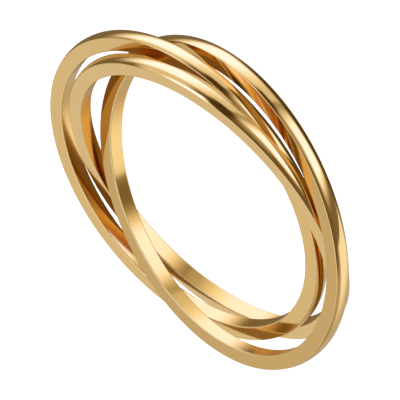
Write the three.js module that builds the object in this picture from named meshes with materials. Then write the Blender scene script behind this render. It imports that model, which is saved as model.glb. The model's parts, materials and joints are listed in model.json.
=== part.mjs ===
// Interlocking ring: three plain polished gold bands, each linked through the other two, lying on a table.
// Millimetres and degrees, +Z up. The origin is on the table, under the middle of the ring.

import * as THREE from "three";

// Section of a band: flat sides, a flat inner face and a low domed outer face, with its four edges eased.
const BAND_WIDTH = 0.93;
const SIDE_HEIGHT = 0.9;
const DOME_RISE = 0.1;
const EDGE_RADIUS = 0.07;

// How each band lies: its bore, where its centre stands over the table, how far its axis leans from upright,
// the compass angle of its low side, and how far its lowest edge is held off the table by the other bands.
const BANDS = [
  { name: "first_band", bore: 18.62, x: 1.07, y: 1.04, lean: 2.75, lowSide: -139.6, lift: 1.05 },
  { name: "second_band", bore: 18.46, x: -0.16, y: 0, lean: 8.35, lowSide: 148.6, lift: 0 },
  { name: "third_band", bore: 18.46, x: -0.91, y: -1.04, lean: 8.7, lowSide: -23.0, lift: 0 },
];

// Fineness: facets around a band, across its dome and round each eased edge.
const FACETS_AROUND = 96;
const FACETS_ACROSS_DOME = 4;
const FACETS_ROUND_EDGE = 2;

const QUARTER_TURN = Math.PI / 2;

// Yellow gold, polished bright.
const gold = new THREE.MeshStandardMaterial({ color: 0xd9b578, roughness: 0.12, metalness: 1.0 });

// Points on an arc in the section's plane, x away from the band's axis and y along it.
function arc(centreX, centreY, radius, fromAngle, toAngle, facets) {
  const points = [];
  for (let step = 0; step <= facets; step += 1) {
    const angle = fromAngle + ((toAngle - fromAngle) * step) / facets;
    points.push(new THREE.Vector2(centreX + radius * Math.cos(angle), centreY + radius * Math.sin(angle)));
  }
  return points;
}

// The closed outline of a band's section, counter-clockwise from the lower end of the dome.
function bandSection(boreRadius) {
  const halfWidth = BAND_WIDTH / 2;
  const edgeY = halfWidth - EDGE_RADIUS;
  const innerEdgeX = boreRadius + EDGE_RADIUS;

  // The dome is one arc over the full width, and the outer edges are arcs that run into it.
  const domeRadius = (halfWidth ** 2 + DOME_RISE ** 2) / (2 * DOME_RISE);
  const domeCentreX = boreRadius + SIDE_HEIGHT + DOME_RISE - domeRadius;
  const domeHalfAngle = Math.asin(edgeY / (domeRadius - EDGE_RADIUS));
  const outerEdgeX = domeCentreX + (domeRadius - EDGE_RADIUS) * Math.cos(domeHalfAngle);

  const dome = arc(domeCentreX, 0, domeRadius, -domeHalfAngle, domeHalfAngle, FACETS_ACROSS_DOME);
  const easedEdge = (x, y, from, to) => arc(x, y, EDGE_RADIUS, from, to, FACETS_ROUND_EDGE);
  const outline = [
    ...dome,
    ...easedEdge(outerEdgeX, edgeY, domeHalfAngle, QUARTER_TURN).slice(1),
    ...easedEdge(innerEdgeX, edgeY, QUARTER_TURN, 2 * QUARTER_TURN),
    ...easedEdge(innerEdgeX, -edgeY, 2 * QUARTER_TURN, 3 * QUARTER_TURN),
    ...easedEdge(outerEdgeX, -edgeY, 3 * QUARTER_TURN, 4 * QUARTER_TURN - domeHalfAngle).slice(0, -1),
  ];
  return [...outline, outline[0].clone()];
}

// One band, turned about its axis, leaned towards its low side and set down to its lift. A facet, not the
// corner between two, is at the low side, so that the band sits on a short edge.
function makeBand({ name, bore, x, y, lean, lowSide, lift }) {
  const halfFacet = Math.PI / FACETS_AROUND;
  const geometry = new THREE.LatheGeometry(bandSection(bore / 2), FACETS_AROUND, halfFacet);
  geometry.rotateX(QUARTER_TURN);

  const band = new THREE.Mesh(geometry, gold);
  band.name = name;
  band.rotation.order = "ZYX";
  band.rotation.set(0, THREE.MathUtils.degToRad(lean), THREE.MathUtils.degToRad(lowSide));
  band.position.set(x, y, 0);
  const lowest = new THREE.Box3().setFromObject(band, true).min.z;
  band.position.z = lift - lowest;
  return band;
}

const ring = new THREE.Group();
BANDS.forEach((row) => ring.add(makeBand(row)));

// The whole ring is moved sideways until its outline is centred over the origin.
const middle = new THREE.Box3().setFromObject(ring, true).getCenter(new THREE.Vector3());
ring.position.set(-middle.x, -middle.y, 0);

export default ring;
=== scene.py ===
# Interlocking ring: three slim bands of polished yellow gold, each linked through the other two. It lies
# on its side on a white table, and the camera looks at it from the photograph's angle.
import json
import math

import bmesh
import bpy
from mathutils import Matrix, Vector


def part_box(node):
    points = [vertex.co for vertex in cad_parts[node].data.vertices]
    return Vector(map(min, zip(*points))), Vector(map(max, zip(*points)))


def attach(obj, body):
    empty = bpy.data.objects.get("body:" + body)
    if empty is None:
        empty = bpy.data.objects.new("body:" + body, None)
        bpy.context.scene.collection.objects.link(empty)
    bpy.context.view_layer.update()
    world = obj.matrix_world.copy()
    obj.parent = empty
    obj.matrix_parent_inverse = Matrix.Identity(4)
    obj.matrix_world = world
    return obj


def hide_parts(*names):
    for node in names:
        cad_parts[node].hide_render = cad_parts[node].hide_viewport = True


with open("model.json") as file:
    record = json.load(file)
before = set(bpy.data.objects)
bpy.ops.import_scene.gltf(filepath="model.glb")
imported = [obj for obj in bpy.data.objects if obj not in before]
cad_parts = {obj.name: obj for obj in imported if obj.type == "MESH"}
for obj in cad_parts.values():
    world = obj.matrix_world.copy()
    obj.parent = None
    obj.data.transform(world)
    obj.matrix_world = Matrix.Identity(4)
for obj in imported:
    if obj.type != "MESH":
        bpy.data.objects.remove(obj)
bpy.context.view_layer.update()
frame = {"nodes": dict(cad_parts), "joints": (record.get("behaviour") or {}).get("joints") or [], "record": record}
scene = bpy.context.scene

# Camera: a long lens, looking down at the ring along +Y. It is rolled about its own axis, because the
# photograph shows the ring turned up on edge and here the ring lies flat.
MM = 0.001
CAMERA_ELEVATION = math.radians(30.19)
CAMERA_ROLL = math.radians(-126.21)
CAMERA_DISTANCE = 343.3 * MM
CAMERA_TARGET = Vector((-0.166, 0.359, 2.2)) * MM
SENSOR_WIDTH_MM = 36.0
IMAGE_WIDTH_PX = 400
LENS_LENGTH_PX = 6000
NEAREST_SEEN = 1 * MM
FARTHEST_SEEN = 100.0

camera = bpy.data.objects.new("camera", bpy.data.cameras.new("camera"))
camera.data.sensor_width = SENSOR_WIDTH_MM
camera.data.lens = SENSOR_WIDTH_MM * LENS_LENGTH_PX / IMAGE_WIDTH_PX
camera.data.clip_start = NEAREST_SEEN
camera.data.clip_end = FARTHEST_SEEN
away = Vector((0.0, -math.cos(CAMERA_ELEVATION), math.sin(CAMERA_ELEVATION)))
camera.matrix_world = (
    Matrix.Translation(CAMERA_TARGET + CAMERA_DISTANCE * away)
    @ Matrix.Rotation(math.pi / 2 - CAMERA_ELEVATION, 4, "X")
    @ Matrix.Rotation(CAMERA_ROLL, 4, "Z")
)
scene.collection.objects.link(camera)
scene.camera = camera
scene.view_settings.view_transform = "Standard"


# Table: a back-lit sheet of white acrylic, so it is evenly white with next to no shadow. The metal doesn't
# see it, and sees the light tent that hangs round and under it instead.
TABLE_SIZE = 6.0
TABLE_WHITE = "#f4f4f4"
TABLE_ROUGHNESS = 0.6
TABLE_GLOW = 0.85


def linear(hex_colour):
    """An sRGB hex colour as linear red, green, blue and alpha."""
    channels = [int(hex_colour[i:i + 2], 16) / 255 for i in (1, 3, 5)]
    return [c / 12.92 if c <= 0.04045 else ((c + 0.055) / 1.055) ** 2.4 for c in channels] + [1.0]


def add_node(tree, kind, inputs=None, **settings):
    """Adds a node with its settings. An input is a value, or the output socket that it is linked to."""
    node = tree.nodes.new(kind)
    for name, value in settings.items():
        setattr(node, name, value)
    for name, value in (inputs or {}).items():
        if isinstance(value, bpy.types.NodeSocket):
            tree.links.new(value, node.inputs[name])
        else:
            node.inputs[name].default_value = value
    return node


def new_material(name):
    """An empty node material, with its output node."""
    material = bpy.data.materials.new(name)
    material.use_nodes = True
    material.node_tree.nodes.clear()
    return material, material.node_tree, material.node_tree.nodes.new("ShaderNodeOutputMaterial")


acrylic, tree, output = new_material("backlit_white_acrylic")
surface = add_node(tree, "ShaderNodeBsdfPrincipled", {
    "Base Color": linear(TABLE_WHITE),
    "Roughness": TABLE_ROUGHNESS,
    "Emission Color": linear(TABLE_WHITE),
    "Emission Strength": TABLE_GLOW,
})
tree.links.new(surface.outputs["BSDF"], output.inputs["Surface"])

table_mesh = bmesh.new()
bmesh.ops.create_grid(table_mesh, x_segments=1, y_segments=1, size=TABLE_SIZE / 2)
table = bpy.data.objects.new("table", bpy.data.meshes.new("table"))
table_mesh.to_mesh(table.data)
table_mesh.free()
table.data.materials.append(acrylic)
table.visible_glossy = False
scene.collection.objects.link(table)


# Light tent: a wall of lit cloth hung all round, mostly below the table's level, lit cloth overhead and a
# dim gap between them, with a few cards and lamps in front. The gold is a mirror, so the tent gives it every
# bright band and dark line. Angles are in degrees from the far side, positive to the right, and heights in
# degrees from level.
GAP_LIGHT = 0.14
# The wall's heights and their blur
WALL_HEIGHTS = (-54, -7, 22)
# The wall's light behind the camera, then, going round by the left, the far side and the right, the angles
# over which it changes and what it changes to
WALL_LIGHT_BEHIND = 1.65
WALL_CHANGES = [
    (-164, -138, 0.19),
    (-120, -117, 1.20),
    (-92, -50, 0.56),
    (-34, 0, 0.18),
    (52, 80, 1.65),
    (104, 138, 0.84),
    (144, 147, 0.38),
    (147, 168, 1.60),
]
# Each panel's angles and their blur, its heights and their blur, and its light. A later one is in front
PANELS = [
    ((-200, 200, 20), (34, 120, 20), 1.00),  # cloth overhead
    ((-200, 200, 20), (-120, -61, 10), 0.06),  # floor under the table
    ((78, 120, 20), (-6, 44, 12), 0.86),  # the top of the right wall
    ((98, 138, 16), (12, 40, 8), 1.75),  # strip lamp high on the right
    ((-104, -50, 30), (-4, 34, 14), 0.50),  # cloth on the left, over the wall
    ((-52, 5, 12), (8, 60, 12), 0.77),  # card over the far side, seen in the flat sides
    ((5, 62, 14), (10, 60, 14), 0.61),  # its dimmer right end
    ((156, 184, 14), (-10, 7, 16), 0.42),  # grey card behind on the right, at the wall's top
    ((132, 152, 12), (-16, 22, 16), 0.05),  # black card beside it
]
# The gain and the power that turn light to colour. Dim cloth is warmed by the gold, and lamps are cool
RED_OF_LIGHT = (0.95, 0.85)
BLUE_OF_CLOTH = (1.1, 1.35)
BLUE_OF_LAMPS = (0.85, 2.6)
BACKDROP_GLOW = 1.2

world = bpy.data.worlds.new("light_tent")
scene.world = world
world.use_nodes = True
tree = world.node_tree
tree.nodes.clear()
direction = add_node(tree, "ShaderNodeTexCoord").outputs["Generated"]
along = add_node(tree, "ShaderNodeSeparateXYZ", {0: direction})
turn = add_node(tree, "ShaderNodeMath", {0: along.outputs["X"], 1: along.outputs["Y"]}, operation="ARCTAN2")
rise = add_node(tree, "ShaderNodeMath", {0: along.outputs["Z"]}, operation="ARCSINE")
angle = add_node(tree, "ShaderNodeMath", {0: turn.outputs[0]}, operation="DEGREES").outputs[0]
height = add_node(tree, "ShaderNodeMath", {0: rise.outputs[0]}, operation="DEGREES").outputs[0]


def share_between(degrees, low, high, blur):
    """1 where an angle or a height is between low and high, falling to 0 over the blur at each end."""
    half_size = (high - low) / 2
    offset = add_node(tree, "ShaderNodeMath", {0: degrees, 1: (low + high) / 2}, operation="SUBTRACT")
    wrapped = add_node(tree, "ShaderNodeMath", {0: offset.outputs[0], 1: 180.0, 2: -180.0}, operation="WRAP")
    distance = add_node(tree, "ShaderNodeMath", {0: wrapped.outputs[0]}, operation="ABSOLUTE")
    return add_node(tree, "ShaderNodeMapRange", {
        "Value": distance.outputs[0],
        "From Min": half_size - blur / 2,
        "From Max": half_size + blur / 2,
        "To Min": 1.0,
        "To Max": 0.0,
    }, interpolation_type="SMOOTHSTEP").outputs[0]


wall_light = WALL_LIGHT_BEHIND
for start, end, after in WALL_CHANGES:
    wall_light = add_node(tree, "ShaderNodeMapRange", {
        "Value": angle, "From Min": start, "From Max": end, "To Min": wall_light, "To Max": after,
    }, interpolation_type="SMOOTHSTEP").outputs[0]
light = add_node(tree, "ShaderNodeMapRange", {
    "Value": share_between(height, *WALL_HEIGHTS), "To Min": GAP_LIGHT, "To Max": wall_light,
}, interpolation_type="SMOOTHSTEP").outputs[0]
for angles, heights, panel_light in PANELS:
    share = add_node(tree, "ShaderNodeMath", {
        0: share_between(angle, *angles), 1: share_between(height, *heights),
    }, operation="MULTIPLY")
    light = add_node(tree, "ShaderNodeMapRange", {
        "Value": share.outputs[0], "To Min": light, "To Max": panel_light,
    }, interpolation_type="SMOOTHSTEP").outputs[0]


def coloured(gain, power):
    """One channel of the tent's colour."""
    raised = add_node(tree, "ShaderNodeMath", {0: light, 1: power}, operation="POWER")
    return add_node(tree, "ShaderNodeMath", {0: raised.outputs[0], 1: gain}, operation="MULTIPLY").outputs[0]


blue = add_node(tree, "ShaderNodeMath", {
    0: coloured(*BLUE_OF_CLOTH), 1: coloured(*BLUE_OF_LAMPS),
}, operation="MAXIMUM")
tint = add_node(tree, "ShaderNodeCombineColor", {
    "Red": coloured(*RED_OF_LIGHT), "Green": light, "Blue": blue.outputs[0],
})

# The metal sees the tent, and the camera sees a plain white backdrop past the table's edge
tent = add_node(tree, "ShaderNodeBackground", {"Color": tint.outputs[0]})
backdrop = add_node(tree, "ShaderNodeBackground", {"Color": linear(TABLE_WHITE), "Strength": BACKDROP_GLOW})
seen = add_node(tree, "ShaderNodeMixShader", {
    0: add_node(tree, "ShaderNodeLightPath").outputs["Is Camera Ray"],
    1: tent.outputs[0],
    2: backdrop.outputs[0],
})
add_node(tree, "ShaderNodeOutputWorld", {"Surface": seen.outputs[0]})


# Bands: three plain hoops of yellow gold, each turned from tube with flat sides and a low domed outside,
# soldered shut through the others, then buffed to a mirror. Nothing but the linking holds them together.
DOME_RISE = 0.1 * MM
OUTER_EDGE_RADIUS = 0.03 * MM
BORE_EDGE_RADIUS = 0.07 * MM
STEPS_AROUND = 360
STEPS_ACROSS_DOME = 12
EDGE_SEGMENTS = 6
GOLD_COLOUR = "#f3cc88"
GOLD_DEEPER = "#eec580"
SHEEN_ROUGHNESS = (0.06, 0.13)
# The bore's gold, darkened as painted shade
BORE_PAINTED_SHADE_COLOUR = "#f0c274"
BORE_ROUGHNESS = 0.16
# The bore edges' gold, paled as a painted highlight
BORE_EDGE_PAINTED_HIGHLIGHT = "#f9da98"
BORE_EDGE_ROUGHNESS = 0.4
# Millimetres round the section from the middle of the dome to the middle of a bore edge, and from there, the
# stretches over which the edge's softer finish and painted highlight end and the bore's hazier finish and painted
# shade begin
BORE_EDGE_ACROSS = 1.114
EDGE_ENDS = (0.03, 0.045)
BORE_BEGINS = (0.02, 0.04)
# Streaks in a millimetre along the band and across it
HAZE_PER_MM = (0.25, 3.0)
MARKS_PER_MM = (0.2, 10.0)
SHADES_PER_MM = (0.15, 0.6)
STREAK_ROUGHNESS = 0.55
MARK_DEPTH = 0.0003 * MM
# The values between which most of a noise lies
NOISE_RANGE = (0.3, 0.7)
CORNER_TOLERANCE = 0.001 * MM
MERGE_DISTANCE = 0.0001 * MM

# Buffed gold is a mirror, a little hazier in some streaks than in others, with fine marks along the band
# from the buffing wheel. The real marks are too fine to show, so they are drawn about 0.1 mm apart. The bore,
# which only a small felt buff reaches, is a little hazier, and its gold is darkened as painted shade. Its eased
# edges are softer, and paled as a painted highlight, so they show as thin bright lines.
gold, tree, output = new_material("buffed_yellow_gold")
place_on_band = add_node(tree, "ShaderNodeUVMap", uv_map="millimetres_along_and_across").outputs[0]


def streaks(per_mm_along, per_mm_across, detail):
    """Noise drawn out along the band."""
    stretched = add_node(tree, "ShaderNodeMapping", {
        "Vector": place_on_band, "Scale": (per_mm_along, per_mm_across, 1.0),
    })
    return add_node(tree, "ShaderNodeTexNoise", {
        "Vector": stretched.outputs[0], "Scale": 1.0, "Detail": detail, "Roughness": STREAK_ROUGHNESS,
    }).outputs[0]


haze = add_node(tree, "ShaderNodeMapRange", {
    "Value": streaks(*HAZE_PER_MM, detail=2.0), "From Min": NOISE_RANGE[0], "From Max": NOISE_RANGE[1],
    "To Min": SHEEN_ROUGHNESS[0], "To Max": SHEEN_ROUGHNESS[1],
})
across = add_node(tree, "ShaderNodeSeparateXYZ", {0: place_on_band}).outputs["Y"]
either_side = add_node(tree, "ShaderNodeMath", {0: across}, operation="ABSOLUTE")
past_edge = add_node(tree, "ShaderNodeMath", {
    0: either_side.outputs[0], 1: BORE_EDGE_ACROSS,
}, operation="SUBTRACT")
bore_haze_and_painted_shade = add_node(tree, "ShaderNodeMapRange", {
    "Value": past_edge.outputs[0], "From Min": BORE_BEGINS[0], "From Max": BORE_BEGINS[1],
})
from_edge = add_node(tree, "ShaderNodeMath", {0: past_edge.outputs[0]}, operation="ABSOLUTE")
edge_softness_and_painted_highlight = add_node(tree, "ShaderNodeMapRange", {
    "Value": from_edge.outputs[0], "From Min": EDGE_ENDS[0], "From Max": EDGE_ENDS[1],
    "To Min": 1.0, "To Max": 0.0,
})
off_edge_roughness = add_node(tree, "ShaderNodeMapRange", {
    "Value": bore_haze_and_painted_shade.outputs[0], "To Min": haze.outputs[0], "To Max": BORE_ROUGHNESS,
})
roughness = add_node(tree, "ShaderNodeMapRange", {
    "Value": edge_softness_and_painted_highlight.outputs[0], "To Min": off_edge_roughness.outputs[0], "To Max": BORE_EDGE_ROUGHNESS,
})
marks = add_node(tree, "ShaderNodeBump", {
    "Height": streaks(*MARKS_PER_MM, detail=3.0), "Strength": 1.0, "Distance": MARK_DEPTH,
})
outer_colour = add_node(tree, "ShaderNodeMixRGB", {
    "Fac": streaks(*SHADES_PER_MM, detail=1.0),
    "Color1": linear(GOLD_COLOUR),
    "Color2": linear(GOLD_DEEPER),
})
# The bore's darker gold mixed in: painted shade
colour_with_painted_bore_shade = add_node(tree, "ShaderNodeMixRGB", {
    "Fac": bore_haze_and_painted_shade.outputs[0], "Color1": outer_colour.outputs[0], "Color2": linear(BORE_PAINTED_SHADE_COLOUR),
})
# The bore edges' paler gold mixed in: a painted highlight
colour = add_node(tree, "ShaderNodeMixRGB", {
    "Fac": edge_softness_and_painted_highlight.outputs[0], "Color1": colour_with_painted_bore_shade.outputs[0], "Color2": linear(BORE_EDGE_PAINTED_HIGHLIGHT),
})
surface = add_node(tree, "ShaderNodeBsdfPrincipled", {
    "Base Color": colour.outputs[0],
    "Metallic": 1.0,
    "Roughness": roughness.outputs[0],
    "Normal": marks.outputs[0],
})
tree.links.new(surface.outputs["BSDF"], output.inputs["Surface"])


def make_band(name, axis):
    """Makes a band of the frame's size in the frame's place, about the axis that it turns on."""
    low_corner, high_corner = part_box(name)
    place = (
        Matrix.Translation((low_corner + high_corner) / 2)
        @ Vector((0, 0, 1)).rotation_difference(axis).to_matrix().to_4x4()
    )
    points = [place.inverted() @ v.co for v in frame["nodes"][name].data.vertices]
    inner_radius = min(p.xy.length for p in points)
    outer_radius = max(p.xy.length for p in points)
    half_width = max(p.z for p in points)
    side_radius = outer_radius - DOME_RISE
    dome_radius = (half_width ** 2 + DOME_RISE ** 2) / (2 * DOME_RISE)
    dome_angle = 2 * math.asin(half_width / dome_radius)

    # The section: a corner swept over the dome, and two corners on the bore
    mesh = bmesh.new()
    corner = mesh.verts.new((side_radius, 0, -half_width))
    dome = bmesh.ops.spin(
        mesh, geom=[corner], cent=(outer_radius - dome_radius, 0, 0), axis=(0, -1, 0),
        angle=dome_angle, steps=STEPS_ACROSS_DOME,
    )
    last = dome["geom_last"][0]
    upper = mesh.verts.new((inner_radius, 0, half_width))
    lower = mesh.verts.new((inner_radius, 0, -half_width))
    for start, end in [(last, upper), (upper, lower), (lower, corner)]:
        mesh.edges.new((start, end))
    bmesh.ops.spin(
        mesh, geom=mesh.verts[:] + mesh.edges[:], axis=(0, 0, 1), cent=(0, 0, 0),
        angle=2 * math.pi, steps=STEPS_AROUND, use_merge=True,
    )
    bmesh.ops.remove_doubles(mesh, verts=mesh.verts, dist=MERGE_DISTANCE)
    bmesh.ops.recalc_face_normals(mesh, faces=mesh.faces)

    # The edges are eased: barely on the outside, and more at the bore, where a finger meets them
    eased_faces = set()
    for radius, edge_radius in [(side_radius, OUTER_EDGE_RADIUS), (inner_radius, BORE_EDGE_RADIUS)]:
        corners = {
            v for v in mesh.verts
            if math.hypot(v.co.xy.length - radius, abs(v.co.z) - half_width) < CORNER_TOLERANCE
        }
        edges = [
            e for e in mesh.edges
            if corners.issuperset(e.verts) and e.verts[0].co.z * e.verts[1].co.z > 0
        ]
        eased = bmesh.ops.bevel(
            mesh, geom=edges, offset=edge_radius, offset_type="OFFSET", affect="EDGES",
            segments=EDGE_SEGMENTS, profile=0.5, material=-1, clamp_overlap=True,
        )
        eased_faces.update(eased["faces"])
    for face in mesh.faces:
        face.smooth = True
    for edge in mesh.edges:
        edge.smooth = len(eased_faces.intersection(edge.link_faces)) != 1

    # The buffing marks' map: millimetres along the band, and round its section
    mean_radius = (inner_radius + outer_radius) / 2
    marks_map = mesh.loops.layers.uv.new("millimetres_along_and_across")

    def turns(point):
        """A point's angles round the band's axis and round the middle of its section."""
        return math.atan2(point.y, point.x), math.atan2(point.z, point.xy.length - mean_radius)

    for face in mesh.faces:
        middle = turns(face.calc_center_median())
        for loop in face.loops:
            round_axis, round_section = [
                m + math.remainder(t - m, 2 * math.pi) for t, m in zip(turns(loop.vert.co), middle)
            ]
            loop[marks_map].uv = (round_axis * mean_radius / MM, round_section * half_width / MM)

    bmesh.ops.transform(mesh, matrix=place, verts=mesh.verts)

    piece = bpy.data.objects.new(name + "_gold", bpy.data.meshes.new(name + "_gold"))
    mesh.to_mesh(piece.data)
    mesh.free()
    piece.data.materials.append(gold)
    scene.collection.objects.link(piece)
    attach(piece, name)
    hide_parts(name)


axes = {joint["child"]: Vector(joint["axis"]) for joint in frame["joints"]}
axes["first_band"] = Vector(frame["record"]["mounts"][0]["axis"])
for name in ("first_band", "second_band", "third_band"):
    make_band(name, axes[name])
